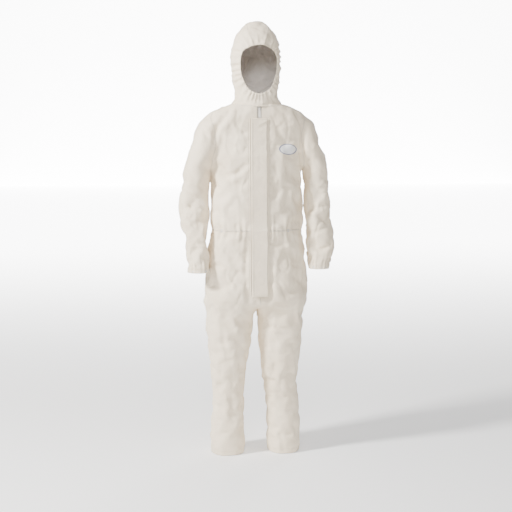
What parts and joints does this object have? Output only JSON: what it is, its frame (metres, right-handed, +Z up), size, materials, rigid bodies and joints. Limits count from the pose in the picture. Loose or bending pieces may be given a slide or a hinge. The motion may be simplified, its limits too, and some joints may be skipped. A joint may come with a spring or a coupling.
{
  "type": "chemical protective suit",
  "caption": "One-piece hooded protective coverall of white non-woven cloth, with elastic face, waist, wrist and ankle openings and a front zip under a storm flap.",
  "frame": {"origin": "the middle of the neckline, where the wearer's shoulders carry the suit", "axes": "+Z up; -Y the wearer's front; +X the wearer's left"},
  "size_m": [0.611, 0.2609, 1.731],
  "materials": {
    "cloth": "matte",
    "elastic": "matte",
    "zip_tape": "matte",
    "zip_coil": "satin",
    "zip_stops": "satin",
    "slider_metal": "satin",
    "tab_plastic": "satin",
    "adhesive": "satin",
    "patch": "matte",
    "tab_cloth": "matte"
  },
  "bodies": {
    "jacket": {"back_panel": "cloth", "front_panel_left": "cloth", "front_panel_right": "cloth", "trouser_front_left": "cloth", "trouser_front_right": "cloth", "trouser_seat_left": "cloth", "trouser_seat_right": "cloth", "waist_elastic": "elastic", "neck_tab": "tab_cloth", "chest_patch": "patch", "zip_tape_left": "zip_tape", "zip_tape_right": "zip_tape", "zip_coil_left": "zip_coil", "zip_coil_right": "zip_coil", "zip_top_stops": "zip_stops", "zip_bottom_stop": "zip_stops", "hood_neck": "cloth", "sleeve_head_left": "cloth", "sleeve_head_right": "cloth", "thigh_fold_left": "cloth", "thigh_fold_right": "cloth"},
    "hood": {"hood_crown": "cloth", "hood_side_left": "cloth", "hood_side_right": "cloth", "face_hem": "cloth", "face_elastic": "elastic"},
    "slider": {"zip_slider": "slider_metal"},
    "tab": {"pull_tab": "tab_plastic"},
    "flap": {"storm_flap": "cloth", "flap_adhesive": "adhesive"},
    "upper_sleeve_left": {"sleeve_upper_left": "cloth", "sleeve_elbow_left": "cloth"},
    "forearm_left": {"sleeve_forearm_left": "cloth", "cuff_hem_left": "cloth", "cuff_elastic_left": "elastic"},
    "thigh_left": {"thigh_left": "cloth", "knee_fold_left": "cloth"},
    "shin_left": {"shin_left": "cloth", "ankle_hem_left": "cloth", "ankle_elastic_left": "elastic"},
    "upper_sleeve_right": {"sleeve_upper_right": "cloth", "sleeve_elbow_right": "cloth"},
    "forearm_right": {"sleeve_forearm_right": "cloth", "cuff_hem_right": "cloth", "cuff_elastic_right": "elastic"},
    "thigh_right": {"thigh_right": "cloth", "knee_fold_right": "cloth"},
    "shin_right": {"shin_right": "cloth", "ankle_hem_right": "cloth", "ankle_elastic_right": "elastic"}
  },
  "joints": [
    {"name": "hood_tip", "type": "hinge", "parent": "jacket", "child": "hood", "pos_m": [0, 0.04, 0.02], "axis": [-1, 0, 0], "range_deg": [0, 30], "deforming": ["hood_neck"]},
    {"name": "zip_slide", "type": "slide", "parent": "jacket", "child": "slider", "axis": [0, -0.046, -0.9989], "range_m": [0, 0.69]},
    {"name": "tab_swing", "type": "hinge", "parent": "slider", "child": "tab", "pos_m": [0, -0.09494, -0.01602], "axis": [-1, 0, 0], "range_deg": [0, 150]},
    {"name": "flap_open", "type": "hinge", "parent": "jacket", "child": "flap", "pos_m": [-0.034, -0.11558, -0.39948], "axis": [0, -0.046, -0.9989], "range_deg": [0, 150]},
    {"name": "shoulder_left", "type": "hinge", "parent": "jacket", "child": "upper_sleeve_left", "pos_m": [0.185, 0, -0.085], "axis": [0, -1, 0], "range_deg": [0, 80], "deforming": ["sleeve_head_left"]},
    {"name": "elbow_left", "type": "hinge", "parent": "upper_sleeve_left", "child": "forearm_left", "pos_m": [0.245, 0.012, -0.335], "axis": [-1, 0, 0], "range_deg": [0, 100], "deforming": ["sleeve_elbow_left"]},
    {"name": "hip_left", "type": "hinge", "parent": "jacket", "child": "thigh_left", "pos_m": [0.105, 0, -0.69], "axis": [-1, 0, 0], "range_deg": [-15, 60], "deforming": ["thigh_fold_left"]},
    {"name": "knee_left", "type": "hinge", "parent": "thigh_left", "child": "shin_left", "pos_m": [0.105, -0.015, -0.985], "axis": [1, 0, 0], "range_deg": [0, 90], "deforming": ["knee_fold_left"]},
    {"name": "shoulder_right", "type": "hinge", "parent": "jacket", "child": "upper_sleeve_right", "pos_m": [-0.185, 0, -0.085], "axis": [0, 1, 0], "range_deg": [0, 80], "deforming": ["sleeve_head_right"]},
    {"name": "elbow_right", "type": "hinge", "parent": "upper_sleeve_right", "child": "forearm_right", "pos_m": [-0.245, 0.012, -0.335], "axis": [-1, 0, 0], "range_deg": [0, 100], "deforming": ["sleeve_elbow_right"]},
    {"name": "hip_right", "type": "hinge", "parent": "jacket", "child": "thigh_right", "pos_m": [-0.105, 0, -0.69], "axis": [-1, 0, 0], "range_deg": [-15, 60], "deforming": ["thigh_fold_right"]},
    {"name": "knee_right", "type": "hinge", "parent": "thigh_right", "child": "shin_right", "pos_m": [-0.105, -0.015, -0.985], "axis": [1, 0, 0], "range_deg": [0, 90], "deforming": ["knee_fold_right"]}
  ]
}
